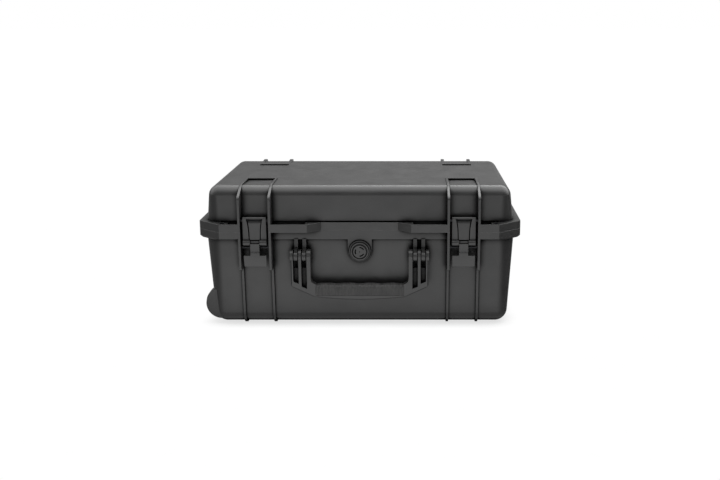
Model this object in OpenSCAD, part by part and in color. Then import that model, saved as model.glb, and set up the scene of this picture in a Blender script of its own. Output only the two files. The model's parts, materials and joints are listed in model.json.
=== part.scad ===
// Wheeled hard carrying case for a drone, lying flat with its front towards -Y.
// Units are millimetres. The origin is on the floor, under the middle of the case.

/* [Case] */
// Width over the rim, end to end
case_w = 560; // [550:2:580]
// Depth over the latch ribs and the hinge barrels
case_d = 352; // [348:2:360]
// Height of the lid's top face above the floor
case_h = 251; // [246:1:258]
// Height of the parting line between base and lid
parting_z = 175; // [172:1:178]
// Wall thickness of both shells
wall = 3.5; // [3:0.5:4]
// Radius of the four vertical corners at the rim
corner_r = 30; // [26:1:32]

/* [Rim] */
// Height of the lid's rim band
lid_band_h = 14; // [12:1:16]
// Height of the base's rim band
base_band_h = 16; // [14:1:17]
// Half width of the flush stretch in the middle of the front
rim_mid_x = 66.5; // [60:0.5:72]
// How far the middle of the rim lies behind the latch ribs
rim_setback = 18; // [16:0.5:20]

/* [Ribs and latches] */
// Distance of each latch from the middle
latch_x = 179.6; // [170:0.1:185]
// Clear gap between the two ribs that guard a latch
rib_gap = 48.4; // [46:0.2:50]
// Thickness of a rib
rib_w = 4; // [3.5:0.5:5]
// Width of the latch arm
latch_w = 40.4; // [38:0.2:42]
// Width of the lever's stem, which passes between the arm's knuckles
stem_w = 15.6; // [14:0.2:17]

/* [Front handle] */
// Half width over the handle's arms
handle_x = 120; // [112:1:126]
// Width of each arm
arm_w = 35; // [32:0.5:38]
// Half length of the hand grip
grip_x = 76.5; // [70:0.5:80]

/* [Wheels] */
// Radius of the wheels
wheel_r = 28.7; // [26:0.1:29]
// Width of the tyre
wheel_w = 24; // [20:1:25]

/* [Trolley handle] */
// Distance of each tube from the middle line
tube_y = 52; // [45:1:55]

/* [Running gaps] */
// Radial gap around every pin
pin_gap = 0.05; // [0.03:0.01:0.1]
// Side gap between parts that swing past each other
side_gap = 0.6; // [0.4:0.1:0.8]

/* [Hidden] */
$fn = 64;

shell_black = [0.16, 0.16, 0.17];
latch_black = [0.2, 0.2, 0.21];
grip_black = [0.1, 0.1, 0.1];
rubber_black = [0.07, 0.07, 0.07];
steel = [0.68, 0.69, 0.71];
aluminium = [0.55, 0.56, 0.58];
foam_grey = [0.23, 0.23, 0.24];
eps = 0.01;

// Base and lid forms
front_y = -case_d / 2;
rim_y = front_y + rim_setback;
rim_bottom = parting_z - base_band_h;
rim_top = parting_z + lid_band_h;
foot_h = 3;
base_mouth = [case_w - 18, case_d - 46];
base_floor = [case_w - 37, case_d - 58];
base_edge_r = 22;
base_edge_z = foot_h + base_edge_r;
lid_mouth = [case_w - 21, case_d - 45];
lid_crown = [case_w - 35, case_d - 48];
lid_edge_r = 18;
lid_edge_z = case_h - lid_edge_r;
base_wall_y = -base_mouth[1] / 2;

// Rim corners
rim_corner_x = case_w / 2 - 40;
rim_corner_y = front_y + 36;
pad_x = latch_x + rib_gap / 2 + rib_w;
padlock_x = rim_corner_x - 5;
padlock_y = front_y + 9.5;
padlock_r = 4;
sleeve_r = 5.5;

// Latches: pivots and catch as (Y, Z)
rib_pitch = (rib_gap + rib_w) / 2;
arm_pivot = [front_y + 9, parting_z + 19];
lever_pivot = [front_y + 6, parting_z - 19];
catch_at = [front_y + 12.5, parting_z - 28.5];
catch_r = 2.5;
latch_pin_r = 2;
knuckle_r = 5.2;
claw_in = norm(catch_at - lever_pivot) + catch_r + 0.2;
claw_out = claw_in + 3.4;

// Lid top
step_y = -68;
wedge_depth = 3.6;
crest_h = 1.2;

// Hinges
hinge_at = [case_d / 2 - 9, parting_z];
hinge_pin_r = 2.5;
hinge_ear_r = 9;
hinge_barrel_r = 8;
hinge_rib_w = 6;

// Front handle
handle_pivot = [front_y + 10, parting_z - 44];
handle_pin_r = 2.5;
handle_end_r = 9.8;
handle_end_rise = 3;
handle_bottom = parting_z - 116.5;
grip_top = handle_bottom + 24.5;
slot_w = 9.4;
slot_x = [handle_x - 9.7, handle_x - 23.9];
ear_w = 6.4;
slot_floor = 6;
bow = 4.5;

// Side handle, in a pocket of the +X end wall
side_pivot = [case_w / 2 - 14, parting_z - 39];
side_pin_r = 2;
side_half = 60;
side_arm_w = 16;
side_bottom = parting_z - 91;
pocket_x = case_w / 2 - 24;
pocket_half = side_half + 7;

// Purge valve
valve_z = parting_z - 36.5;
valve_r = 18.6;
boss_r = 20.8;
boss_y = rim_y + 1;

// Wheels
wheel_x = -case_w / 2 + 32.3;
wheel_z = 38.2;
wheel_y = -case_d / 2 + 50.5;
axle_r = 4;
cheek_r = wheel_r - 1.4;
cheek_t = 4.4;
well_half = wheel_w / 2 + 0.9;
well_r = wheel_r + 2.4;

// Trolley handle
tube_z = 19;
tube_r = 10;
tube_wall = 1.1;
channel_half = tube_y + 14;
channel_top = 33;
channel_x0 = -case_w / 2 + 65;
mouth_x = case_w / 2 - 50;
end_x = case_w / 2 - 19;
trolley_half = 72;

// Foam
foam_bottom = channel_top + wall + 1.5;
foam_top = parting_z - 4;

// ---------------------------------------------------------------- helpers

// Runs a profile drawn in (Y, Z) along X, centred on x = 0
module along_x(w) {
    rotate([90, 0, 90]) linear_extrude(w, center = true) children();
}

// Runs a profile drawn in (X, Z) along Y from y0 to y1
module along_y(y0, y1) {
    translate([0, y1, 0]) rotate([90, 0, 0]) linear_extrude(y1 - y0) children();
}

// A round bar along X through the (Y, Z) point at, from x0 to x1
module rod_x(at, r, x0, x1) {
    translate([x0, at[0], at[1]]) rotate([0, 90, 0]) cylinder(r = r, h = x1 - x0);
}

// A round bar along Y through the (X, Z) point at, from y0 to y1
module rod_y(at, r, y0, y1) {
    translate([at[0], y0, at[1]]) rotate([-90, 0, 0]) cylinder(r = r, h = y1 - y0);
}

module block(low, high) {
    translate(low) cube(high - low);
}

module at_latch(side) {
    translate([side * latch_x, 0, 0]) children();
}

module at_latches() {
    for (side = [-1, 1]) at_latch(side) children();
}

module mirrored_x() {
    children();
    mirror([1, 0, 0]) children();
}

module mirrored_y() {
    children();
    mirror([0, 1, 0]) children();
}

function arc(c, r, a0, a1, n = 8) =
    [for (i = [0:n]) c + r * [cos(a0 + (a1 - a0) * i / n), sin(a0 + (a1 - a0) * i / n)]];

// Closes a half outline, listed from front to back, with its mirror image in x
function both_halves(pts) =
    concat(pts, [for (i = [len(pts) - 1:-1:0]) [-pts[i][0], pts[i][1]]]);

module rounded_rect(size, r) {
    square([size[0] - 2 * r, size[1]], center = true);
    square([size[0], size[1] - 2 * r], center = true);
    for (x = [-1, 1], y = [-1, 1]) {
        translate([x * (size[0] / 2 - r), y * (size[1] / 2 - r)]) circle(r);
    }
}

// A box with leaning walls: flat at its mouth, ball-cornered at its far end
module drafted_box(mouth, mouth_r, mouth_z, far, far_r, far_z, smooth = 48) {
    lip_z = far_z > mouth_z ? mouth_z : mouth_z - eps;
    hull() {
        for (x = [-1, 1], y = [-1, 1]) {
            translate([x * (mouth[0] / 2 - mouth_r), y * (mouth[1] / 2 - mouth_r), lip_z])
                cylinder(r = mouth_r, h = eps, $fn = smooth);
            translate([x * (far[0] / 2 - far_r), y * (far[1] / 2 - far_r), far_z])
                sphere(r = far_r, $fn = smooth);
        }
    }
}

// The base's inside form, pulled in by gap from the outer skin
module base_inside(gap, smooth = 32) {
    inset = [2 * gap, 2 * gap];
    drafted_box(base_mouth - inset, corner_r - gap, parting_z + 0.3, base_floor - inset,
        base_edge_r - gap, base_edge_z, smooth);
}

module lid_inside(gap, smooth = 32) {
    inset = [2 * gap, 2 * gap];
    drafted_box(lid_mouth - inset, corner_r - gap, parting_z - 0.3, lid_crown - inset,
        lid_edge_r - gap, lid_edge_z, smooth);
}

// ---------------------------------------------------------------- base shell

// Rim band: set back along the front, with full-depth pads at the padlock corners
module base_rim() {
    plan = both_halves([
        [0, rim_y + 1], [pad_x, rim_y + 1], [pad_x, front_y], [rim_corner_x, front_y],
        [case_w / 2, rim_corner_y], [case_w / 2, -rim_corner_y], [case_w / 2 - 20, -rim_y - 1],
        [0, -rim_y - 1]
    ]);
    difference() {
        translate([0, 0, rim_bottom]) linear_extrude(base_band_h) polygon(plan);
        along_x(case_w + 2) polygon([
            [front_y - 1, rim_bottom - 1], [rim_y, rim_bottom - 1], [rim_y, rim_bottom],
            [front_y - 1, rim_bottom + 4.8]
        ]);
        mirrored_x() {
            rim_chamfer([case_w / 2, -rim_corner_y], [case_w / 2, rim_corner_y]);
            rim_chamfer([case_w / 2, rim_corner_y], [rim_corner_x, front_y]);
        }
    }
}

// Takes the lower edge off the rim between two corners of its plan
module rim_chamfer(from, to) {
    run = to - from;
    translate([from[0], from[1], rim_bottom]) rotate([90, 0, atan2(run[1], run[0]) + 90])
        translate([0, 0, -4]) linear_extrude(norm(run) + 8)
            polygon([[1, -1], [1, 5], [-4, 0], [-4, -1]]);
}

// The pair of tall ribs that guard a latch
module guard_ribs() {
    low = parting_z - 68.6;
    for (side = [-1, 1]) translate([side * rib_pitch, 0, 0]) along_x(rib_w) polygon([
        [base_wall_y + 8, parting_z], [front_y, parting_z], [front_y, low + 6],
        [front_y + 2, low + 2], [front_y + 6, low], [base_wall_y + 8, low]
    ]);
}

// Low ribs that run down the wall, under the floor as feet, and up the back
module hoop_rib() {
    top = parting_z - 66;
    wall_y = -base_floor[1] / 2 - foot_h;
    c = [wall_y + base_edge_z, base_edge_z];
    outline = concat([[wall_y - 4, top]], arc(c, base_edge_z, 180, 270));
    flipped = [for (i = [len(outline) - 1:-1:0]) [-outline[i][0], outline[i][1]]];
    along_x(rib_w) polygon(concat(outline, flipped));
}

module back_rib() {
    along_x(rib_w) polygon([
        [-base_wall_y - 8, rim_bottom + 4], [-rim_y - 2, rim_bottom + 4], [-rim_y + 2, rim_bottom],
        [-rim_y + 2, parting_z - 62], [-rim_y - 3, parting_z - 68], [-base_wall_y - 8, parting_z - 68]
    ]);
}

module hinge_knuckle() {
    w = 2 * (rib_pitch - hinge_rib_w / 2 - side_gap);
    rod_x(hinge_at, hinge_barrel_r, -w / 2, w / 2);
    along_x(w) polygon([
        [-base_wall_y - 6, parting_z], [hinge_at[0], parting_z], [hinge_at[0] + 7.9, parting_z - 1],
        [hinge_at[0] + 4, parting_z - 14], [-base_wall_y - 6, parting_z - 34]
    ]);
}

// One ear of the base stands in each slot of a handle arm and holds the pin
module handle_ears() {
    p = handle_pivot;
    mirrored_x() for (x = slot_x) {
        translate([x, 0, 0]) {
            rod_x(p, handle_end_r - 0.4, -ear_w / 2, ear_w / 2);
            along_x(ear_w) polygon([
                [p[0] - 4, p[1] + 8.4], [p[0] + 6, p[1] + 15], [p[0] + 7.4, rim_bottom + 1],
                [base_wall_y + 6, rim_bottom + 1], [base_wall_y + 6, p[1] - 12], [p[0], p[1] - 9.4]
            ]);
        }
    }
}

module valve_boss() {
    along_y(boss_y, base_wall_y + 8) {
        translate([0, valve_z]) circle(boss_r);
        translate([-boss_r, valve_z]) square([2 * boss_r, rim_bottom - valve_z]);
    }
}

// Moat around the valve's flange
module valve_moat() {
    along_y(boss_y - 1, boss_y + 2.6) translate([0, valve_z]) difference() {
        circle(boss_r - 0.9);
        circle(valve_r - 1);
    }
}

// Round cheeks on both sides of each wheel carry its axle
module wheel_cheeks() {
    for (y0 = [wheel_y - well_half - cheek_t, wheel_y + well_half]) {
        rod_y([wheel_x, wheel_z], cheek_r, y0, y0 + cheek_t);
    }
}

// Solid humps left standing inside the case around the pockets cut from outside
module base_liners() {
    mirrored_y() rod_y([wheel_x, wheel_z], well_r + wall, wheel_y - 40, wheel_y + well_half + cheek_t);
    block([channel_x0 - wall, -channel_half - wall, 0],
        [case_w / 2, channel_half + wall, channel_top + wall]);
    block([mouth_x - wall, -trolley_half - 5 - wall, 0], [case_w / 2, trolley_half + 5 + wall, 40 + wall]);
    block([pocket_x - wall, -pocket_half - wall, side_bottom - 9 - wall],
        [case_w / 2, pocket_half + wall, parting_z - 22 + wall]);
}

module trolley_pockets() {
    block([channel_x0, -channel_half, -1], [case_w / 2 - 40, channel_half, channel_top]);
    block([mouth_x, -trolley_half - 5, 5], [case_w / 2, trolley_half + 5, 40]);
}

module side_handle_ears() {
    mirrored_y() {
        y0 = side_half - side_arm_w / 2 - 3;
        block([pocket_x - 1, y0, side_pivot[1] - 5], [side_pivot[0], y0 + 6, side_pivot[1] + 5]);
        rod_y(side_pivot, 5, y0, y0 + 6);
    }
}

module base_shell() {
    color(shell_black) difference() {
        union() {
            difference() {
                union() {
                    drafted_box(base_mouth, corner_r, parting_z, base_floor, base_edge_r, base_edge_z);
                    base_rim();
                    at_latches() {
                        guard_ribs();
                        for (side = [-1, 1]) translate([side * rib_pitch, 0, 0]) {
                            hoop_rib();
                            back_rib();
                        }
                        hinge_knuckle();
                    }
                    handle_ears();
                    valve_boss();
                    mirrored_y() wheel_cheeks();
                }
                difference() {
                    base_inside(wall);
                    base_liners();
                }
                mirrored_y() rod_y([wheel_x, wheel_z], well_r, wheel_y - well_half, wheel_y + well_half);
                trolley_pockets();
                block([pocket_x, -pocket_half, side_bottom - 9],
                    [case_w / 2 + 1, pocket_half, parting_z - 22]);
            }
            side_handle_ears();
        }
        at_latches() {
            rod_x(catch_at, catch_r + pin_gap, -rib_pitch - rib_w, rib_pitch + rib_w);
            rod_x(hinge_at, hinge_pin_r + pin_gap, -rib_pitch - 5, rib_pitch + 5);
            for (side = [-1, 1]) {
                x = side * rib_pitch;
                clear = hinge_rib_w / 2 + side_gap;
                rod_x(hinge_at, hinge_ear_r + 0.8, x - clear, x + clear);
            }
        }
        for (side = [-1, 1]) {
            x = side * padlock_x;
            translate([x, padlock_y, rim_bottom - 1]) cylinder(r = sleeve_r + pin_gap, h = base_band_h + 2);
        }
        mirrored_x() rod_x(handle_pivot, handle_pin_r + pin_gap, handle_x - arm_w - 1, handle_x + 1);
        rod_y([0, valve_z], 9 + pin_gap, front_y, base_wall_y + 20);
        valve_moat();
        mirrored_y() {
            rod_y([wheel_x, wheel_z], axle_r + pin_gap, wheel_y - well_half - cheek_t + 1.2,
                wheel_y + well_half + cheek_t - 1);
            rod_y(side_pivot, side_pin_r + pin_gap, side_half - side_arm_w - 1, side_half + 1);
        }
    }
}

// ---------------------------------------------------------------- lid shell

// Rim band: flush with the ribs on both sides, stepping back in the middle of the front
module lid_rim() {
    wing_x = rim_mid_x + 23;
    plan = both_halves([
        [0, rim_y + 1], [rim_mid_x, rim_y + 1], [wing_x, front_y], [rim_corner_x, front_y],
        [case_w / 2, rim_corner_y], [case_w / 2, -rim_corner_y], [case_w / 2 - 20, -rim_y - 1],
        [0, -rim_y - 1]
    ]);
    latch_in = latch_x - rib_pitch - rib_w / 2;
    latch_out = latch_x + rib_pitch + rib_w / 2;
    difference() {
        translate([0, 0, parting_z]) linear_extrude(lid_band_h) polygon(plan);
        // Channel behind the band, open at the top
        mirrored_x() {
            block([wing_x + 3, front_y + 4, parting_z + 4], [latch_in, -120, rim_top + 1]);
            block([latch_out, front_y + 4, parting_z + 4], [padlock_x - 8, -120, rim_top + 1]);
        }
        // Room for the latch arm
        at_latches() block([-rib_gap / 2, front_y - 1, parting_z - 1], [rib_gap / 2, rim_y, rim_top + 1]);
    }
}

// Rib over the front edge of the lid: a low crest on the top face, a ramp, then a vertical front
module lid_front_rib() {
    slope = 23;
    ramp_y = front_y + 38;
    along_x(rib_w) polygon(concat(
        [[step_y, case_h - 3], [step_y - 1, case_h + 0.4], [step_y - 4, case_h + crest_h]],
        [[ramp_y, case_h + crest_h]],
        arc([front_y + 7, case_h - 20], 7, 90 + slope, 180),
        [[front_y, parting_z], [-lid_crown[1] / 2 + 4, parting_z], [ramp_y, case_h - 12]]
    ));
}

// Rib over the back edge of the lid, ending in an ear on the hinge pin
module lid_back_rib() {
    along_x(hinge_rib_w) polygon(concat(
        [[lid_crown[1] / 2 - 52, case_h - 6], [lid_crown[1] / 2 - 49, case_h]],
        arc([lid_crown[1] / 2, case_h - 6.5], 8, 96, 0),
        [[lid_crown[1] / 2 + 8, parting_z + 26], [hinge_at[0] + 8, parting_z + 4]],
        [[hinge_at[0], parting_z], [lid_crown[1] / 2 - 4, parting_z]]
    ));
    rod_x(hinge_at, hinge_ear_r, -hinge_rib_w / 2, hinge_rib_w / 2);
}

// Shallow wedge cut into the top face: deep at its step, which faces the front, and running out forwards
module lid_wedge(w, wall_y, run, depth, skin) {
    along_x(w + 2 * skin) polygon([
        [wall_y + skin, case_h + 6 - skin], [wall_y + skin, case_h - depth - skin],
        [wall_y - run, case_h - 0.3 - skin], [wall_y - run - 20, case_h + 6 - skin]
    ]);
}

module lid_wedges(skin) {
    at_latches() {
        lid_wedge(rib_gap, step_y, 68, wedge_depth, skin);
        lid_wedge(2 * rib_pitch + rib_w, lid_crown[1] / 2 - 55, 16, wedge_depth - 0.6, skin);
    }
}

// Undercut along the foot of the lid's front wall, behind the rim band
module lid_foot_groove() {
    y = -lid_mouth[1] / 2;
    along_x(2 * rim_corner_x) polygon([
        [y - 2, parting_z + 4], [y + 2.2, parting_z + 4.6], [y + 2.2, rim_top + 0.4], [y + 0.2, rim_top + 2],
        [y - 2, rim_top + 2]
    ]);
}

module seal_groove(top, gap) {
    inner = base_mouth - [2 * (wall - 2), 2 * (wall - 2)];
    difference() {
        translate([0, 0, parting_z - gap]) linear_extrude(top + gap)
            rounded_rect(inner + [8, 8], corner_r + 2);
        translate([0, 0, parting_z - 1]) linear_extrude(top + 2) rounded_rect(inner, corner_r - 2);
    }
}

module lid_shell() {
    color(shell_black) difference() {
        union() {
            difference() {
                union() {
                    lid_rim();
                    drafted_box(lid_mouth, corner_r, parting_z, lid_crown, lid_edge_r, lid_edge_z);
                }
                lid_wedges(0);
                lid_foot_groove();
            }
            at_latches() for (side = [-1, 1]) translate([side * rib_pitch, 0, 0]) {
                lid_front_rib();
                lid_back_rib();
            }
        }
        difference() {
            lid_inside(wall);
            intersection() {
                lid_wedges(wall);
                block([-case_w, -case_d, case_h - 14], [case_w, case_d, case_h]);
            }
        }
        block([-case_w, -case_d, parting_z - 30], [case_w, -rim_y - 2, parting_z]);
        seal_groove(3.4, 1);
        at_latches() {
            rod_x(arm_pivot, latch_pin_r + pin_gap, -rib_pitch - rib_w, rib_pitch + rib_w);
            rod_x(hinge_at, hinge_pin_r + pin_gap, -rib_pitch - 5, rib_pitch + 5);
            half = rib_pitch - hinge_rib_w / 2 - eps;
            rod_x(hinge_at, hinge_barrel_r + 0.8, -half, half);
        }
        for (side = [-1, 1]) {
            x = side * padlock_x;
            translate([x, padlock_y, parting_z - 1]) cylinder(r = sleeve_r + pin_gap, h = lid_band_h + 2);
        }
    }
}

module lid_seal() {
    inner = base_mouth - [2 * (wall - 2), 2 * (wall - 2)];
    color(rubber_black) translate([0, 0, parting_z + 0.05]) linear_extrude(3.2) difference() {
        rounded_rect(inner + [7.8, 7.8], corner_r + 1.9);
        rounded_rect(inner + [0.2, 0.2], corner_r - 1.9);
    }
}

// ---------------------------------------------------------------- pins, bars and sleeves

module hinge_pins() {
    reach = rib_pitch + hinge_rib_w / 2 + 0.4;
    color(steel) at_latches() rod_x(hinge_at, hinge_pin_r, -reach, reach);
}

module latch_arm_pins() {
    reach = rib_pitch + rib_w / 2;
    color(steel) at_latches() rod_x(arm_pivot, latch_pin_r, -reach, reach);
}

module catch_bars() {
    reach = rib_pitch + rib_w / 2;
    color(steel) at_latches() rod_x(catch_at, catch_r, -reach, reach);
}

module padlock_sleeve(z0, z1) {
    for (side = [-1, 1]) translate([side * padlock_x, padlock_y, z0]) difference() {
        cylinder(r = sleeve_r, h = z1 - z0);
        translate([0, 0, -1]) cylinder(r = padlock_r, h = z1 - z0 + 2);
    }
}

module padlock_sleeves_base() {
    color(steel) padlock_sleeve(rim_bottom + 3, parting_z - 0.1);
}

module padlock_sleeves_lid() {
    color(steel) padlock_sleeve(parting_z + 0.1, rim_top);
}

// ---------------------------------------------------------------- latches

// Outline that is straight low down and flares towards its top
module waisted_outline(z0, z1, top_w, low_w) {
    n = 10;
    half = [for (i = [0:n]) let (t = i / n) [
        (low_w + (top_w - low_w) * pow(t, 3)) / 2, z0 + (z1 - z0) * t
    ]];
    polygon(both_halves(half));
}

module latch_arm() {
    w = latch_w / 2;
    a = arm_pivot;
    p = lever_pivot;
    face = front_y + 4;
    low = p[1] + 5.4;
    high = a[1] + 6.6;
    slot = stem_w / 2 + side_gap;
    color(latch_black) difference() {
        union() {
            // Plate with a rounded top edge
            along_x(latch_w) polygon(concat(
                [[face + 4.6, low], [face, low]], arc([face + 2, high - 2], 2, 180, 90),
                [[a[0], high], [a[0], a[1] - 5], [face + 4.6, a[1] - 9]]
            ));
            for (side = [-1, 1]) {
                // Side flanges back to the top barrel
                translate([side * (w - 1.6), 0, 0]) along_x(3.2) polygon([
                    [face + 0.6, p[1] + 2], [face + 4, p[1] + 2], [a[0] + 2, low + 4], [a[0] + 4, a[1] - 4],
                    [a[0] + 3, a[1] + 4], [face + 1, high - 1]
                ]);
                // Knuckles on the lever pin, a thin seam below the plate
                x0 = side > 0 ? slot : -w;
                rod_x(p, knuckle_r, x0, x0 + w - slot);
                block([x0, front_y + 1.6, p[1]], [x0 + w - slot, front_y + 8, low - 0.7]);
                block([x0, face + 1.6, p[1]], [x0 + w - slot, front_y + 8, low + 1]);
            }
            rod_x(a, 4, -w, w);
        }
        // Waisted hollow: a leaning panel with a deep groove down both sides and a notch at the top
        intersection() {
            along_y(face - 1, face + 4) waisted_outline(low - 1, high - 2.6, 28.8, 21);
            along_x(latch_w) polygon([
                [face - 1, low - 1], [face + 0.5, low - 1], [face + 1.2, high - 10],
                [face + 3.6, high - 5], [face + 3.6, high], [face - 1, high]
            ]);
        }
        along_y(face - 1, face + 3) difference() {
            waisted_outline(low - 1, high - 2.6, 28.8, 21);
            waisted_outline(low - 2, high - 2.6, 25.2, 17.6);
        }
        rod_x(a, latch_pin_r + pin_gap, -30, 30);
        rod_x(p, latch_pin_r + pin_gap, -30, 30);
    }
}

module latch_lever() {
    p = lever_pivot;
    face = front_y + 0.8;
    plate_top = parting_z - 41;
    plate_low = parting_z - 64.2;
    w = latch_w / 2 - 0.8;
    color(latch_black) difference() {
        union() {
            rod_x(p, knuckle_r - 2, -stem_w / 2, stem_w / 2);
            block([-stem_w / 2, face, plate_top - 3], [stem_w / 2, face + 4.8, p[1] - 1.2]);
            // Claw that reaches under the catch bar, centred on the lever pin
            along_x(stem_w) translate(p) intersection() {
                difference() {
                    circle(claw_out);
                    circle(claw_in);
                }
                polygon([[0, 0], for (a = [-110, -75, -38]) 30 * [cos(a), sin(a)]]);
            }
            // Finger tab, curling in towards the case
            along_x(2 * w) polygon(concat(
                arc([face + 62, plate_top], 62, 180, 180 + 19, 6),
                [[face + 7.2, plate_low + 1.4], [face + 6, plate_low + 4]],
                arc([face + 66.4, plate_top], 62, 180 + 15, 180, 6)
            ));
        }
        rod_x(p, latch_pin_r + pin_gap, -30, 30);
        // Corners of the tab are drawn in a little
        mirrored_x() along_y(front_y - 2, front_y + 20) polygon([
            [w - 2, plate_low - 2], [w + 2, plate_low - 2], [w + 2, plate_low + 12]
        ]);
    }
}

module latch_lever_pin() {
    color(steel) rod_x(lever_pivot, latch_pin_r, -latch_w / 2 + 0.3, latch_w / 2 - 0.3);
}

// ---------------------------------------------------------------- front handle

// Front outline of the handle, pulled in by inset: arms, knees and a lower bar that bows down a little
module handle_outline(inset) {
    p = handle_pivot;
    knee_z = parting_z - 97;
    bar = [for (i = [0:8]) let (t = 1 - i / 8)
        [(grip_x + 1.5) * t, handle_bottom + inset - bow * (1 - t * t)]];
    half = concat([[handle_x - inset, p[1]], [handle_x - inset, knee_z + 0.6 * inset]], bar);
    difference() {
        polygon(concat(half, [for (i = [len(half) - 2:-1:0]) [-half[i][0], half[i][1]]]));
        // Room for the hand
        translate([arm_w - handle_x, grip_top]) square([2 * (handle_x - arm_w), p[1] - grip_top + 1]);
    }
}

module front_handle_frame() {
    p = handle_pivot;
    inner_x = handle_x - arm_w;
    thick = [p[0] - 9, p[0] + 5];
    color(latch_black) difference() {
        union() {
            along_y(thick[0] + 2.6, thick[1]) handle_outline(0);
            along_y(thick[0], thick[1]) handle_outline(2.6);
            mirrored_x() {
                // Round inner corners beside the grip
                along_y(thick[0], thick[1]) polygon(concat(
                    [[inner_x, grip_top + 9], [inner_x, grip_top - 1], [inner_x - 9, grip_top - 1]],
                    arc([inner_x - 9, grip_top + 9], 9, 270, 360, 6)
                ));
                rod_x(p, handle_end_r, inner_x, handle_x);
                rod_x(p + [0, handle_end_rise], handle_end_r - 0.6, inner_x, handle_x);
                block([inner_x, p[0] - handle_end_r + 0.6, p[1]],
                    [handle_x, p[0] + handle_end_r - 0.6, p[1] + handle_end_rise]);
            }
        }
        // Bay that the grip is moulded into, round a core
        difference() {
            block([-grip_x, thick[0] - 1, handle_bottom + 4], [grip_x, thick[1] + 1, grip_top + 1]);
            block([-grip_x - 1, p[0] - 5, handle_bottom + 5], [grip_x + 1, p[0] + 2, grip_top - 6]);
        }
        for (i = [0, 1]) mirrored_x() translate([slot_x[i], 0, 0]) {
            half = slot_w / 2;
            low = handle_bottom + 27 - 9 * i;
            block([-half, thick[0] - 5, p[1] - 20], [half, thick[1] + 8, p[1] + 20]);
            // Shallow pocket below each slot, its foot along the knee
            along_y(thick[0] - 5, thick[0] + slot_floor) polygon([
                [-half, low - 2], [half, low + 2], [half, p[1]], [-half, p[1]]
            ]);
        }
        mirrored_x() rod_x(p, handle_pin_r + pin_gap, inner_x + 1.5, handle_x - 1.5);
    }
}

// Rubber sleeve with four finger waves along its rounded top
module front_handle_grip() {
    p = handle_pivot;
    n = 64;
    reach = grip_x - 0.2;
    low = handle_bottom + 4.2;
    face = p[0] - 9.5;
    back = p[0] + 5.5;
    crest = [for (i = [0:n]) let (x = -reach + 2 * reach * i / n)
        [x, grip_top - 0.9 - 0.9 * cos(360 * 4 * x / (2 * reach))]];
    color(grip_black) difference() {
        intersection() {
            along_y(face - 1, back + 1) polygon(concat(crest, [[reach, low], [-reach, low]]));
            along_x(2 * reach) polygon(concat(
                [[back, low], [face, low]], arc([face + 8, grip_top - 8], 8, 180, 90),
                arc([back - 5, grip_top - 5], 5, 90, 0)
            ));
        }
        block([-grip_x - 2, p[0] - 5.1, handle_bottom + 4.9], [grip_x + 2, p[0] + 2.1, grip_top - 5.9]);
    }
}

module front_handle_pins() {
    color(steel) mirrored_x() rod_x(handle_pivot, handle_pin_r, handle_x - arm_w + 1.7, handle_x - 1.7);
}

// ---------------------------------------------------------------- side handle

module side_handle_frame() {
    x0 = side_pivot[0] - 4.5;
    x1 = side_pivot[0] + 4.5;
    color(latch_black) difference() {
        union() {
            mirrored_y() {
                block([x0, side_half - side_arm_w, side_bottom], [x1, side_half, side_pivot[1]]);
                rod_y(side_pivot, 4.5, side_half - side_arm_w, side_half);
            }
            block([x0 + 2, -side_half + 2, side_bottom + 4], [x1 - 2, side_half - 2, side_bottom + 12]);
        }
        mirrored_y() {
            y0 = side_half - side_arm_w / 2 - 3.6;
            block([x0 - 5, y0, side_bottom + 22], [x1 + 5, y0 + 7.2, side_pivot[1] + 10]);
            rod_y(side_pivot, side_pin_r + pin_gap, side_half - side_arm_w + 1.4, side_half - 1.4);
        }
    }
}

module side_handle_grip() {
    reach = side_half - side_arm_w - 0.1;
    color(grip_black) difference() {
        along_y(-reach, reach) translate([side_pivot[0], side_bottom + 8]) rounded_rect([10, 15.6], 4);
        block([side_pivot[0] - 2.6, -side_half, side_bottom + 3.9],
            [side_pivot[0] + 2.6, side_half, side_bottom + 12.1]);
    }
}

module side_handle_pins() {
    color(steel) mirrored_y() rod_y(side_pivot, side_pin_r, side_half - side_arm_w + 1.6, side_half - 1.6);
}

// ---------------------------------------------------------------- purge valve

module valve_body() {
    color(latch_black) difference() {
        union() {
            rod_y([0, valve_z], valve_r, boss_y - 3.4, boss_y - 1.6);
            rod_y([0, valve_z], 16, boss_y - 3.4, boss_y - 0.1);
            rod_y([0, valve_z], 9, boss_y - 3.4, base_wall_y + 16);
        }
        rod_y([0, valve_z], 16.2, boss_y - 9, boss_y - 2.6);
        rod_y([0, valve_z], 4 + pin_gap, boss_y - 9, base_wall_y + 14);
    }
}

// Hand-turned cap: a rim, a lower ring and a raised disc with three arc slots
module valve_cap() {
    face = boss_y - 8;
    color(latch_black) difference() {
        union() {
            rod_y([0, valve_z], 15.5, face + 1, boss_y - 2.8);
            rod_y([0, valve_z], 11, face, boss_y - 2.8);
            rod_y([0, valve_z], 4, face + 1, base_wall_y + 8);
        }
        rod_y([0, valve_z], 0.9, face - 1, face + 1.2);
        difference() {
            rod_y([0, valve_z], 13.6, face - 1, face + 2.2);
            rod_y([0, valve_z], 11, face - 2, face + 3);
        }
        for (turn = [60, 180, 300]) {
            translate([0, face + 1.2, valve_z]) rotate([90, 0, 0]) rotate([0, 0, turn - 32])
                rotate_extrude(angle = 64) translate([6.6, -1]) square([2.2, 4]);
        }
    }
}

module valve_gasket() {
    color(rubber_black) difference() {
        rod_y([0, valve_z], valve_r - 0.8, boss_y - 1.5, boss_y - 0.05);
        rod_y([0, valve_z], 16.1, boss_y - 3, boss_y + 1);
    }
}

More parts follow.
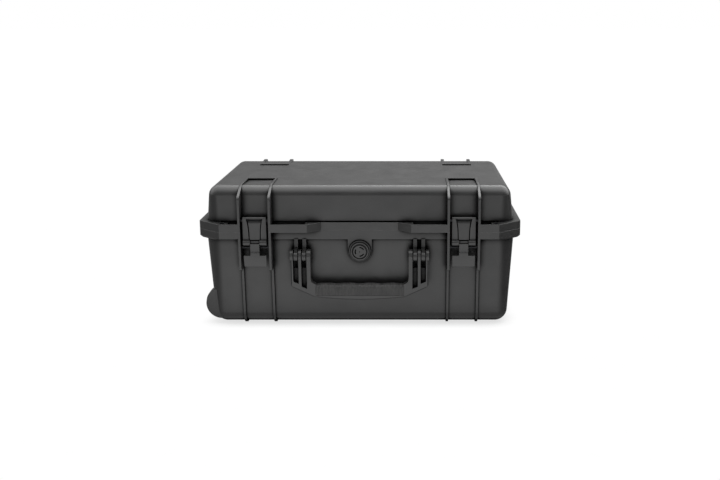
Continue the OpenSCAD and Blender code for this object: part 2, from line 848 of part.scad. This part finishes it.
module valve_nut() {
    inside = -base_mouth[1] / 2 + wall + 2.4;
    color(latch_black) difference() {
        translate([0, inside, valve_z]) rotate([-90, 0, 0]) cylinder(r = 14, h = 5, $fn = 6);
        rod_y([0, valve_z], 9 + pin_gap, inside - 1, inside + 6);
    }
}

// ---------------------------------------------------------------- wheels

module at_wheel(side) {
    translate([wheel_x, side * wheel_y, wheel_z]) rotate([-90, 0, 0]) children();
}

module wheel_tyre(side) {
    h = wheel_w / 2;
    color(rubber_black) at_wheel(side) rotate_extrude() polygon(concat(
        [[20, -h], [wheel_r - 3, -h]], arc([wheel_r - 3, -h + 3], 3, 270, 360, 4),
        arc([wheel_r - 3, h - 3], 3, 0, 90, 4), [[20, h]]
    ));
}

module wheel_hub(side) {
    h = wheel_w / 2 - 0.6;
    color(latch_black) at_wheel(side) difference() {
        union() {
            translate([0, 0, -h]) cylinder(r = 13.5, h = 2 * h);
            translate([0, 0, -3]) cylinder(r = 19.9, h = 6);
            difference() {
                translate([0, 0, -h]) cylinder(r = 19.9, h = 2 * h);
                translate([0, 0, -h - 1]) cylinder(r = 17.4, h = 2 * h + 2);
            }
            for (a = [0:60:300]) rotate([0, 0, a]) translate([12, -1.2, -h + 1]) cube([6.4, 2.4, 2 * h - 2]);
        }
        translate([0, 0, -h - 1]) cylinder(r = 5.5, h = 2 * h + 2);
        for (z = [-h - 1, h - 7]) translate([0, 0, z]) cylinder(r = 11, h = 8);
    }
}

// Two ball bearings, one pressed into each end of the hub
module wheel_bearings(side) {
    h = wheel_w / 2 - 0.6;
    color(steel) at_wheel(side) for (z = [-h, h - 6.9]) translate([0, 0, z]) difference() {
        cylinder(r = 10.95, h = 6.9);
        translate([0, 0, -1]) cylinder(r = axle_r + pin_gap, h = 9);
        difference() {
            translate([0, 0, -1]) cylinder(r = 8.9, h = 1.6);
            translate([0, 0, -2]) cylinder(r = 6.1, h = 4);
        }
        difference() {
            translate([0, 0, 6.3]) cylinder(r = 8.9, h = 1.6);
            translate([0, 0, 6]) cylinder(r = 6.1, h = 4);
        }
    }
}

module wheel_axle(side) {
    half = well_half + cheek_t - 1.4;
    color(steel) at_wheel(side) translate([0, 0, -half]) cylinder(r = axle_r, h = 2 * half);
}

// ---------------------------------------------------------------- trolley handle

// One pair of tubes; stage 0 is fixed, stages 1 and 2 nest inside it
module tube_pair(stage, x0, x1) {
    r = tube_r - stage * (tube_wall + 0.1);
    mirrored_y() translate([0, tube_y, 0]) difference() {
        rod_y_as_x(r, x0, x1);
        rod_y_as_x(r - tube_wall, x0 - 1, x1 + 1);
    }
}

module rod_y_as_x(r, x0, x1) {
    translate([x0, 0, tube_z]) rotate([0, 90, 0]) cylinder(r = r, h = x1 - x0);
}

module trolley_outer_tubes() {
    color(aluminium) tube_pair(0, channel_x0 + 8, mouth_x - 1);
}

module trolley_middle_tubes() {
    color(aluminium) tube_pair(1, channel_x0 + 12, mouth_x + 3);
}

module trolley_inner_tubes() {
    color(aluminium) tube_pair(2, channel_x0 + 16, end_x - 22);
}

// Saddles that hold the outer tubes in the channel
module trolley_tube_clamps() {
    color(latch_black) for (x = [channel_x0 + 14, mouth_x - 24]) difference() {
        block([x, -channel_half + 1, 7], [x + 14, channel_half - 1, channel_top - 0.2]);
        mirrored_y() translate([0, tube_y, 0]) rod_y_as_x(tube_r + pin_gap, x - 1, x + 15);
        block([x - 1, -tube_y + 16, 6], [x + 15, tube_y - 16, channel_top - 8]);
    }
}

module trolley_grip() {
    color(grip_black) difference() {
        translate([0, 0, 9]) linear_extrude(22) difference() {
            translate([end_x - 12, 0]) rounded_rect([24, 2 * trolley_half], 8);
            translate([end_x - 24, 0]) rounded_rect([18, 2 * tube_y - 30], 8);
        }
        // Rounded top and bottom edges along the hand
        for (z = [9, 31]) translate([end_x, 0, z]) rotate([90, 0, 0])
            cylinder(r = 3.4, h = 200, center = true, $fn = 4);
        // Sockets for the tubes
        socket_r = tube_r - 2 * tube_wall - 0.15;
        mirrored_y() translate([0, tube_y, 0]) rod_y_as_x(socket_r, end_x - 30, end_x - 21.95);
        // Button slot
        block([end_x - 9, -14.3, 13.7], [end_x + 1, 14.3, 26.3]);
    }
}

module trolley_button() {
    color(latch_black) difference() {
        block([end_x - 4.5, -14, 14], [end_x + 1.5, 14, 26]);
        for (y = [-8:4:8]) block([end_x + 0.7, y - 0.6, 13], [end_x + 2, y + 0.6, 27]);
    }
}

screw_places = [
    for (x = [channel_x0 + 6, (channel_x0 + mouth_x) / 2, mouth_x - 6], side = [-1, 1])
        [x, side * (channel_half - 5)]
];

// Plate that closes the tube channel, carrying the middle stretch of the foot ribs
module trolley_cover() {
    color(shell_black) difference() {
        union() {
            block([channel_x0 + 0.5, -channel_half + 0.5, foot_h],
                [mouth_x - 0.5, channel_half - 0.5, foot_h + 3]);
            at_latches() for (side = [-1, 1]) {
                x = side * rib_pitch;
                block([x - rib_w / 2, -channel_half + 0.5, 0],
                    [x + rib_w / 2, channel_half - 0.5, foot_h + 1]);
            }
        }
        block([mouth_x - 0.5, -200, -1], [case_w, 200, 10]);
        for (p = screw_places) translate([p[0], p[1], foot_h - 1]) {
            cylinder(r = 2.05, h = 10);
            cylinder(r = 3.9, h = 2.6);
        }
    }
}

module trolley_cover_screws() {
    color(steel) for (p = screw_places) translate([p[0], p[1], foot_h + 0.2]) difference() {
        union() {
            cylinder(r = 3.8, h = 1.4);
            cylinder(r = 2, h = 8);
        }
        translate([0, 0, -1]) cylinder(r = 1.5, h = 2, $fn = 6);
    }
}

// ---------------------------------------------------------------- foam

// Pocket with rounded corners, open at the top of the base foam
module foam_pocket(centre, size, r, depth) {
    translate([centre[0], centre[1], foam_top - depth]) linear_extrude(depth + 10) rounded_rect(size, r);
}

// Bay for a folded-out four-armed drone: body, arms and motors
module drone_bay() {
    c = [-118, 0];
    foam_pocket(c, [120, 176], 24, 96);
    translate([c[0], c[1], foam_top - 66]) linear_extrude(80) {
        for (a = [38, 142, 218, 322]) rotate([0, 0, a]) {
            translate([0, -15]) square([104, 30]);
            translate([104, 0]) circle(34);
        }
    }
}

module base_foam() {
    color(foam_grey) difference() {
        intersection() {
            base_inside(wall + 1.5);
            block([-case_w / 2, -case_d / 2, foam_bottom], [case_w / 2, case_d / 2, foam_top]);
        }
        drone_bay();
        foam_pocket([132, 56], [176, 128], 18, 92);
        for (x = [72, 132, 192]) foam_pocket([x, -78], [48, 92], 10, 84);
        // Room around the inside humps of the shell
        mirrored_y() rod_y([wheel_x, wheel_z], well_r + wall + 1.5, wheel_y - 60, wheel_y + well_half + 7);
        block([mouth_x - wall - 1.5, -trolley_half - 10, 0],
            [case_w / 2, trolley_half + 10, 40 + wall + 1.5]);
        block([pocket_x - wall - 1.5, -pocket_half - wall - 1.5, 0],
            [case_w / 2, pocket_half + wall + 1.5, case_h]);
        rod_y([0, valve_z], 17, front_y, base_wall_y + 20);
    }
}

module lid_foam() {
    color(foam_grey) intersection() {
        lid_inside(wall + 1.5);
        block([-case_w / 2, -case_d / 2, parting_z + 4], [case_w / 2, case_d / 2, case_h - 8.5]);
    }
}

// ---------------------------------------------------------------- assembly

base_shell();
lid_shell();
lid_seal();
hinge_pins();
at_latch(-1) latch_arm();  // latch_arm_left
at_latch(1) latch_arm();  // latch_arm_right
latch_arm_pins();
at_latch(-1) latch_lever();  // latch_lever_left
at_latch(1) latch_lever();  // latch_lever_right
at_latch(-1) latch_lever_pin();  // latch_lever_pin_left
at_latch(1) latch_lever_pin();  // latch_lever_pin_right
catch_bars();
padlock_sleeves_base();
padlock_sleeves_lid();
front_handle_frame();
front_handle_grip();
front_handle_pins();
side_handle_frame();
side_handle_grip();
side_handle_pins();
valve_body();
valve_cap();
valve_gasket();
valve_nut();
wheel_tyre(1);  // wheel_tyre_front
wheel_hub(1);  // wheel_hub_front
wheel_bearings(1);  // wheel_bearings_front
wheel_axle(1);  // wheel_axle_front
wheel_tyre(-1);  // wheel_tyre_rear
wheel_hub(-1);  // wheel_hub_rear
wheel_bearings(-1);  // wheel_bearings_rear
wheel_axle(-1);  // wheel_axle_rear
trolley_outer_tubes();
trolley_middle_tubes();
trolley_inner_tubes();
trolley_tube_clamps();
trolley_grip();
trolley_button();
trolley_cover();
trolley_cover_screws();
base_foam();
lid_foam();
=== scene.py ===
import json
import math

import bpy
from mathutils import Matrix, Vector, noise

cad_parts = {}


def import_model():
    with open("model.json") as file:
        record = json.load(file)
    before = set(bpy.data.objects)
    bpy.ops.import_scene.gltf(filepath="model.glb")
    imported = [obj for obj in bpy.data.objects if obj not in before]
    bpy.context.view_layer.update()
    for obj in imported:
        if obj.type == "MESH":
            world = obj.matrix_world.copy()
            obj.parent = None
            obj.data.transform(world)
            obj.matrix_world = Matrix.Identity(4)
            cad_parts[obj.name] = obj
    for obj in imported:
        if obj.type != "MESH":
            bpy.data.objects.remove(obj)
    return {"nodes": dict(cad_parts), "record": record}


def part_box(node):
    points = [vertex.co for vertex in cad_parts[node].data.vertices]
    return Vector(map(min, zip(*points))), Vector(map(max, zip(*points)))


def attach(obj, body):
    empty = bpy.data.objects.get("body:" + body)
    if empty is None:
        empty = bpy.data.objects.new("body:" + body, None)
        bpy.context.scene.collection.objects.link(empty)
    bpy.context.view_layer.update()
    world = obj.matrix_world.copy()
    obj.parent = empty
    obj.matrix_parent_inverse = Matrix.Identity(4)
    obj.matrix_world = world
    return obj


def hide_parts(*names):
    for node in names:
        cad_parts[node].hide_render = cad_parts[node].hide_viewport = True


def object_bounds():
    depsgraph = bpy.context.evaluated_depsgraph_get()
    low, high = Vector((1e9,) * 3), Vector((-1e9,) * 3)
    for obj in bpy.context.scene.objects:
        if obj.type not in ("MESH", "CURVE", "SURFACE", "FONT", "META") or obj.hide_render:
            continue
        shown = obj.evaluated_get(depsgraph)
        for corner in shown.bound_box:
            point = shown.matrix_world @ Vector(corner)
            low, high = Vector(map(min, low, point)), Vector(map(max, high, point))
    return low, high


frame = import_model()
cad_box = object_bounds()
nodes = frame["nodes"]
MM = 0.001
WELD_GAP = 0.01 * MM


# ---------------------------------------------------------------- material tools

class Graph:
    """A material's node tree, with short ways to add and join nodes. Lengths are in metres."""

    def __init__(self, name):
        self.material = bpy.data.materials.new(name)
        self.material.use_nodes = True
        self.tree = self.material.node_tree
        self.shader = self.tree.nodes["Principled BSDF"]
        coords = self.tree.nodes.new("ShaderNodeTexCoord")
        self.place = coords.outputs["Object"]

    def add(self, kind, **values):
        node = self.tree.nodes.new(kind)
        for key, value in values.items():
            if hasattr(node, key):
                setattr(node, key, value)
            else:
                node.inputs[key.replace("_", " ")].default_value = value
        return node

    def join(self, output, node, socket):
        self.tree.links.new(output, node.inputs[socket])

    def noise(self, scale, detail=3.0, rough=0.5, stretch=None):
        """Noise in metres: scale is features per metre. stretch scales the axes first."""
        node = self.add("ShaderNodeTexNoise", Scale=scale, Detail=detail, Roughness=rough)
        source = self.place
        if stretch:
            mapping = self.add("ShaderNodeMapping", Scale=stretch)
            self.join(source, mapping, "Vector")
            source = mapping.outputs["Vector"]
        self.join(source, node, "Vector")
        return node.outputs["Fac"]

    def spread(self, fac, low, high, start=0.3, end=0.7):
        """A 0 to 1 pattern turned into values from low to high."""
        node = self.add("ShaderNodeMapRange")
        self.join(fac, node, "Value")
        node.inputs["From Min"].default_value = start
        node.inputs["From Max"].default_value = end
        node.inputs["To Min"].default_value = low
        node.inputs["To Max"].default_value = high
        return node.outputs["Result"]

    def tint(self, fac, dark, light):
        node = self.add("ShaderNodeMix", data_type="RGBA")
        self.join(fac, node, "Factor")
        node.inputs["A"].default_value = (*dark, 1)
        node.inputs["B"].default_value = (*light, 1)
        return node.outputs["Result"]

    def bump(self, height, strength, depth, normal=None):
        node = self.add("ShaderNodeBump", Strength=strength, Distance=depth)
        self.join(height, node, "Height")
        if normal:
            self.join(normal, node, "Normal")
        return node.outputs["Normal"]

    def soft_edges(self, radius):
        """Normals that roll over sharp edges, as a moulded or machined edge does."""
        node = self.add("ShaderNodeBevel", samples=6, Radius=radius)
        return node.outputs["Normal"]

    def crevices(self, distance):
        """1 in the open, and 0 where surfaces within the distance hide half of the view or more."""
        node = self.add("ShaderNodeAmbientOcclusion", samples=10, Distance=distance)
        return self.spread(node.outputs["AO"], 0.0, 1.0, 0.5, 0.95)

    def times(self, a, b):
        """The product of two patterns."""
        node = self.add("ShaderNodeMath", operation="MULTIPLY")
        self.join(a, node, 0)
        self.join(b, node, 1)
        return node.outputs[0]

    def edge_mask(self, rounded):
        """1 on sharp edges and 0 on flats, from how far the rolled normal leans."""
        geometry = self.add("ShaderNodeNewGeometry")
        dot = self.add("ShaderNodeVectorMath", operation="DOT_PRODUCT")
        self.join(rounded, dot, 0)
        self.join(geometry.outputs["Normal"], dot, 1)
        return self.spread(dot.outputs["Value"], 1.0, 0.0, 0.8, 0.99)


def grey(value, warm=0.0):
    """A grey that leans to red by warm, or to blue if warm is negative."""
    return (value * (1 + warm), value, value * (1 - warm))


def moulded_plastic(name, tone, rough, grain=0.16, edge_radius=0.9 * MM, edge_wear_and_highlight=5.0):
    """Moulded black plastic: fine grain, faint mottling, paler along its edges with wear and a painted
    highlight, and darkened in its gaps by painted shade.
    """
    g = Graph(name)
    mottle = g.noise(14, 4, 0.6)
    base = g.tint(g.spread(mottle, 0, 1), grey(tone * 0.9, -0.01), grey(tone * 1.12, 0.01))
    rounded = g.soft_edges(edge_radius)
    edge = g.edge_mask(rounded)
    # Paler edges: partly wear in scuffs, partly a painted highlight that runs along every sharp edge
    scuffs_and_highlight = g.spread(g.noise(90, 5, 0.7), 0.2, 1.0)
    color = g.add("ShaderNodeMix", data_type="RGBA")
    g.join(g.times(edge, scuffs_and_highlight), color, "Factor")
    g.join(base, color, "A")
    color.inputs["B"].default_value = (*grey(tone * edge_wear_and_highlight), 1)
    # Painted shade in gaps and crevices: the colour darkens to near black and the specular fades where
    # nearby surfaces hide the view
    open_air = g.crevices(14 * MM)
    painted_crevice_shade = g.add("ShaderNodeMix", data_type="RGBA")
    g.join(open_air, painted_crevice_shade, "Factor")
    painted_crevice_shade.inputs["A"].default_value = (*grey(tone * 0.12), 1)
    g.join(color.outputs["Result"], painted_crevice_shade, "B")
    g.join(painted_crevice_shade.outputs["Result"], g.shader, "Base Color")
    g.join(g.spread(open_air, 0.0, 0.5, 0.1, 0.95), g.shader, "Specular IOR Level")
    g.join(g.spread(g.noise(35, 3), rough - 0.04, rough + 0.05), g.shader, "Roughness")
    g.join(g.bump(g.noise(1400, 3, 0.65), grain, 0.25 * MM, rounded), g.shader, "Normal")
    g.shader.inputs["IOR"].default_value = 1.5
    return g.material


def soft_rubber(name, tone, rough, grain=0.3, ribs=0):
    """Matt rubber; with ribs, fine raised lines run up and down, that many to the metre."""
    g = Graph(name)
    dust = g.spread(g.noise(60, 5, 0.7), 0, 1, 0.35, 0.75)
    g.join(g.tint(dust, grey(tone), grey(tone * 1.5, 0.02)), g.shader, "Base Color")
    g.join(g.spread(g.noise(40, 3), rough - 0.06, rough + 0.06), g.shader, "Roughness")
    surface = g.bump(g.noise(1900, 2), grain, 0.2 * MM, g.soft_edges(0.8 * MM))
    if ribs:
        # The wave texture's phase is 20 times its scaled place
        lines = g.add("ShaderNodeTexWave", Scale=ribs / 20 * math.tau, Distortion=0.0)
        g.join(g.place, lines, "Vector")
        surface = g.bump(lines.outputs["Fac"], 1.0, 1.2 * MM, surface)
    g.join(surface, g.shader, "Normal")
    g.shader.inputs["Specular IOR Level"].default_value = 0.45
    return g.material


def brushed_metal(name, color, rough, along):
    """Metal with fine drawn lines along one axis."""
    g = Graph(name)
    across_lines = 260.0
    along_lines = 4.0
    stretch = [along_lines if axis == along else across_lines for axis in "xyz"]
    lines = g.noise(6, 4, 0.6, stretch)
    pale = tuple(min(1, c * 1.12) for c in color)
    dark = tuple(c * 0.82 for c in color)
    g.join(g.tint(g.spread(lines, 0, 1), dark, pale), g.shader, "Base Color")
    g.join(g.spread(lines, rough - 0.05, rough + 0.1), g.shader, "Roughness")
    g.join(g.bump(lines, 0.08, 0.1 * MM, g.soft_edges(0.4 * MM)), g.shader, "Normal")
    g.shader.inputs["Metallic"].default_value = 1.0
    return g.material


def open_foam(name, tone):
    """Open-cell foam: a field of pores, with painted shade darkening the inside of each one."""
    g = Graph(name)
    pores = g.add("ShaderNodeTexVoronoi", Scale=700.0)
    g.join(g.place, pores, "Vector")
    # Painted shade inside each pore, times a random cloud of tone
    depth = g.spread(pores.outputs["Distance"], 0, 1, 0.1, 0.6)
    cloud = g.spread(g.noise(25, 4), 0.8, 1.1)
    shade = g.times(depth, cloud)
    g.join(g.tint(shade, grey(tone * 0.45), grey(tone * 1.25)), g.shader, "Base Color")
    g.join(g.bump(pores.outputs["Distance"], 0.7, 0.6 * MM), g.shader, "Normal")
    g.shader.inputs["Roughness"].default_value = 0.95
    g.shader.inputs["Sheen Weight"].default_value = 0.15
    g.shader.inputs["Specular IOR Level"].default_value = 0.15
    return g.material


SHELL = moulded_plastic("shell_plastic", 0.020, 0.36)
FITTING = moulded_plastic("fitting_plastic", 0.022, 0.34, grain=0.1, edge_radius=0.7 * MM)
HUB = moulded_plastic("hub_plastic", 0.06, 0.42)
GRIP = soft_rubber("grip_rubber", 0.036, 0.5, ribs=400)
SEAL = soft_rubber("seal_rubber", 0.02, 0.5, 0.15)
TYRE = soft_rubber("tyre_rubber", 0.014, 0.62)
STEEL = brushed_metal("drawn_steel", (0.5, 0.51, 0.52), 0.3, "x")
AXLE_STEEL = brushed_metal("turned_steel", (0.48, 0.49, 0.5), 0.32, "y")
PIN_STEEL = brushed_metal("blackened_steel", (0.03, 0.03, 0.032), 0.4, "x")
TUBE = brushed_metal("anodised_tube", (0.55, 0.56, 0.58), 0.36, "x")
FOAM = open_foam("charcoal_foam", 0.05)

FINISH_OF_SLOT = {
    "shell": SHELL, "fitting": FITTING, "grip": GRIP, "seal": SEAL, "tyre": TYRE,
    "hub": HUB, "steel": STEEL, "aluminium": TUBE, "foam": FOAM,
}

# Nodes of the steel slot with a finish of their own: turned along Y, or blackened
FINISH_OF_NODE = {
    **dict.fromkeys(("wheel_axle_front", "wheel_axle_rear", "side_handle_pins"), AXLE_STEEL),
    **dict.fromkeys(("padlock_sleeves_base", "padlock_sleeves_lid", "latch_arm_pins",
                     "latch_lever_pin_left", "latch_lever_pin_right", "catch_bars",
                     "front_handle_pins", "hinge_pins"), PIN_STEEL),
}


# ---------------------------------------------------------------- CAD nodes

def paint(obj, material):
    obj.data.materials.clear()
    obj.data.materials.append(material)


def smooth_edges(obj, width):
    """Shades the CAD mesh smoothly and rounds its sharp edges with a small real bevel."""
    for polygon in obj.data.polygons:
        polygon.use_smooth = True
    weld = obj.modifiers.new("weld", "WELD")
    weld.merge_threshold = WELD_GAP
    bevel = obj.modifiers.new("bevel", "BEVEL")
    bevel.width = width
    bevel.segments = 2
    bevel.limit_method = "ANGLE"
    bevel.angle_limit = math.radians(32)
    bevel.use_clamp_overlap = True
    weighted = obj.modifiers.new("weighted", "WEIGHTED_NORMAL")
    weighted.keep_sharp = True


slot_of = {s["node"]: s["material_slot"] for s in frame["record"]["subparts"]}
for name, obj in nodes.items():
    paint(obj, FINISH_OF_NODE.get(name, FINISH_OF_SLOT[slot_of[name]]))
    smooth_edges(obj, 0.4 * MM)


# ---------------------------------------------------------------- foam

def remeshed_copy(node, name, voxel, smooth_turns):
    """A CAD soft solid remade as an even mesh with rounded cut edges."""
    obj = bpy.data.objects.new(name, nodes[node].data.copy())
    bpy.context.scene.collection.objects.link(obj)
    weld = obj.modifiers.new("weld", "WELD")
    weld.merge_threshold = WELD_GAP
    remesh = obj.modifiers.new("remesh", "REMESH")
    remesh.mode = "VOXEL"
    remesh.voxel_size = voxel
    remesh.use_smooth_shade = True
    soften = obj.modifiers.new("soften", "SMOOTH")
    soften.factor = 0.5
    soften.iterations = smooth_turns
    graph = bpy.context.evaluated_depsgraph_get()
    obj.data = bpy.data.meshes.new_from_object(obj.evaluated_get(graph))
    obj.modifiers.clear()
    paint(obj, FOAM)
    return obj


def base_padding():
    """Cut foam around the drone, controller and battery bays."""
    pad = remeshed_copy("base_foam", "base_padding", 3.0 * MM, 4)
    ripples_per_metre = 45
    ripple = 0.5 * MM
    for v in pad.data.vertices:
        v.co.z += noise.noise(v.co * ripples_per_metre) * ripple
    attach(pad, "base")
    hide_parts("base_foam")


def lid_padding():
    """Egg-crate foam: rows of rounded peaks pointing down at the load."""
    pad = remeshed_copy("lid_foam", "lid_padding", 4.0 * MM, 4)
    low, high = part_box("lid_foam")
    pitch = 42 * MM
    depth = 20 * MM
    flat_border = 8 * MM
    border_fade = 22 * MM
    fade_height = 24 * MM
    for v in pad.data.vertices:
        inside = min(v.co.x - low.x, high.x - v.co.x, v.co.y - low.y, high.y - v.co.y)
        fade = min(max((inside - flat_border) / border_fade, 0), 1)
        lower = 1 - min(max((v.co.z - low.z) / fade_height, 0), 1)
        wave = 0.5 - 0.5 * math.cos(math.tau * v.co.x / pitch) * math.cos(math.tau * v.co.y / pitch)
        v.co.z += depth * wave * fade * lower
    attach(pad, "lid")
    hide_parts("lid_foam")


base_padding()
lid_padding()


# ---------------------------------------------------------------- stage, light and camera

# Brightness of the parts of the studio as the object sees them: glows on the floor, skies above it
FRONT_GLOW = 1.5
LEFT_GLOW = 0.22
RIGHT_GLOW = 0.08
BACK_GLOW = 0.6
STRIP = 3.0
BACK_SKY = 0.24
LEFT_SKY = 0.2
RIGHT_SKY = 0.05
FRONT_SKY = 0.12


class Field:
    """Number fields over a direction or a place, for the studio's soft tent."""

    def __init__(self, tree, vector):
        self.tree = tree
        split = tree.nodes.new("ShaderNodeSeparateXYZ")
        tree.links.new(vector, split.inputs[0])
        self.x, self.y, self.z = split.outputs

    def put(self, value, socket):
        if isinstance(value, (int, float)):
            socket.default_value = value
        else:
            self.tree.links.new(value, socket)

    def math(self, operation, a, b=0.0):
        node = self.tree.nodes.new("ShaderNodeMath")
        node.operation = operation
        self.put(a, node.inputs[0])
        self.put(b, node.inputs[1])
        return node.outputs[0]

    def ramp(self, value, start, end, low, high):
        node = self.tree.nodes.new("ShaderNodeMapRange")
        node.interpolation_type = "SMOOTHSTEP"
        for socket, item in zip(("Value", "From Min", "From Max", "To Min", "To Max"),
                                (value, start, end, low, high)):
            self.put(item, node.inputs[socket])
        return node.outputs["Result"]

    def turn(self, half_width):
        """Compass angle from a front that wide: 0 ahead of it at -Y, pi / 2 at both sides, pi at +Y."""
        across = self.math("MAXIMUM", self.math("SUBTRACT", self.math("ABSOLUTE", self.x), half_width))
        return self.math("ARCTAN2", across, self.math("MULTIPLY", self.y, -1.0))

    def pick(self, camera_value, other_value):
        path = self.tree.nodes.new("ShaderNodeLightPath")
        node = self.tree.nodes.new("ShaderNodeMix")
        node.data_type = "FLOAT"
        self.put(path.outputs["Is Camera Ray"], node.inputs["Factor"])
        self.put(other_value, node.inputs["A"])
        self.put(camera_value, node.inputs["B"])
        return node.outputs["Result"]


def backdrop_material():
    """A white table that glows: white to the camera but for a painted contact shadow; a soft glow to the
    object.
    """
    g = Graph("studio_floor")
    field = Field(g.tree, g.place)
    front_half_width = 0.2
    turn = field.turn(front_half_width)
    sides = field.ramp(field.x, -0.5, 0.5, LEFT_GLOW, RIGHT_GLOW)
    front = field.math("MULTIPLY", field.ramp(turn, 0.25, 0.75, FRONT_GLOW, sides),
                       field.ramp(field.x, -0.5, 0.5, 1.06, 0.96))
    glow = field.math("ADD", front, field.ramp(turn, 2.2, 2.8, 0.0, BACK_GLOW))
    # The glow is weaker close to the case's own footprint: a painted shadow of the case, darkening what
    # the case takes from the floor near it
    far_corner = cad_box[1]
    past_side = field.math("SUBTRACT", field.math("ABSOLUTE", field.x), far_corner[0])
    past_front = field.math("SUBTRACT", field.math("ABSOLUTE", field.y), far_corner[1])
    near = field.math("MAXIMUM", past_front, past_side)
    glow = field.math("MULTIPLY", glow, field.ramp(near, 0.0, 55 * MM, 0.35, 1.0))
    # Painted contact shadow: the white the camera sees darkens where the case hides the floor
    contact = g.add("ShaderNodeAmbientOcclusion", samples=8, Distance=35 * MM)
    shade = field.ramp(contact.outputs["AO"], 0.1, 0.95, 0.72, 1.0)
    shade = field.math("MULTIPLY", shade, g.spread(g.noise(30, 3), 1.0, 1.02))
    g.join(field.pick(shade, glow), g.shader, "Emission Strength")
    g.shader.inputs["Emission Color"].default_value = (1, 1, 1, 1)
    g.shader.inputs["Base Color"].default_value = (0, 0, 0, 1)
    g.shader.inputs["Roughness"].default_value = 1.0
    g.shader.inputs["Specular IOR Level"].default_value = 0.0
    return g.material


def floor():
    half = 40.0
    drop = 0.5 * MM
    mesh = bpy.data.meshes.new("floor")
    corners = [(-half, -half, 0), (half, -half, 0), (half, half, 0), (-half, half, 0)]
    mesh.from_pydata(corners, [], [(0, 1, 2, 3)])
    obj = bpy.data.objects.new("floor", mesh)
    bpy.context.scene.collection.objects.link(obj)
    obj.location.z = -drop
    paint(obj, backdrop_material())


def world():
    """White to the camera; to the object, a tent with a bright strip from behind to overhead."""
    scene_world = bpy.data.worlds.new("studio")
    bpy.context.scene.world = scene_world
    scene_world.use_nodes = True
    tree = scene_world.node_tree
    coords = tree.nodes.new("ShaderNodeTexCoord")
    field = Field(tree, coords.outputs["Generated"])
    rise = field.math("ARCTAN2", field.z, field.y)
    to_right = field.ramp(field.x, -0.6, 0.7, 0.8, 1.25)
    # Rise is the angle from the back's horizon: pi / 2 is overhead, and pi is the front's horizon
    fade = field.math("ADD", field.ramp(rise, 1.0, 1.4, 0.1, 0.0), field.ramp(rise, 1.7, 2.65, 1.0, 0.0))
    strip = field.math("MULTIPLY", field.ramp(rise, 0.5, 0.8, 0.0, STRIP), fade)
    sides = field.ramp(field.x, -0.3, 0.3, LEFT_SKY, RIGHT_SKY)
    horizon = field.ramp(field.y, -0.2, 0.6, sides, BACK_SKY)
    ahead = field.math("MULTIPLY", field.ramp(field.y, -0.75, -0.95, 0.0, FRONT_SKY),
                       field.ramp(field.z, 0.12, 0.45, 1.0, 0.0))
    tent = field.math("ADD", field.math("MULTIPLY", field.math("ADD", strip, horizon), to_right), ahead)
    back = tree.nodes["Background"]
    tree.links.new(field.pick(1.0, tent), back.inputs["Strength"])
    back.inputs["Color"].default_value = (1, 1, 1, 1)


def area_light(name, place, target, size, power):
    data = bpy.data.lights.new(name, "AREA")
    data.shape = "RECTANGLE"
    data.size, data.size_y = size
    data.energy = power
    obj = bpy.data.objects.new(name, data)
    bpy.context.scene.collection.objects.link(obj)
    obj.location = place
    obj.rotation_euler = (Vector(target) - Vector(place)).to_track_quat("-Z", "Y").to_euler()
    obj.visible_camera = False


def camera():
    """Stands a little right of the middle and looks down, with its picture shifted onto the case."""
    looks_down = math.radians(13)
    data = bpy.data.cameras.new("camera")
    data.lens = 46.0
    data.sensor_width = 36.0
    data.shift_x = -0.0671
    data.shift_y = -0.0136
    obj = bpy.data.objects.new("camera", data)
    bpy.context.scene.collection.objects.link(obj)
    obj.location = (0.0843, -1.7086, 0.5333)
    obj.rotation_euler = (math.pi / 2 - looks_down, 0, 0)
    bpy.context.scene.camera = obj


floor()
world()
camera()
area_light("overhead_soft", place=(0.5, 1.2, 1.7), target=(0, 0, 0.2), size=(1.6, 0.5), power=6)
bpy.context.scene.view_settings.view_transform = "Standard"
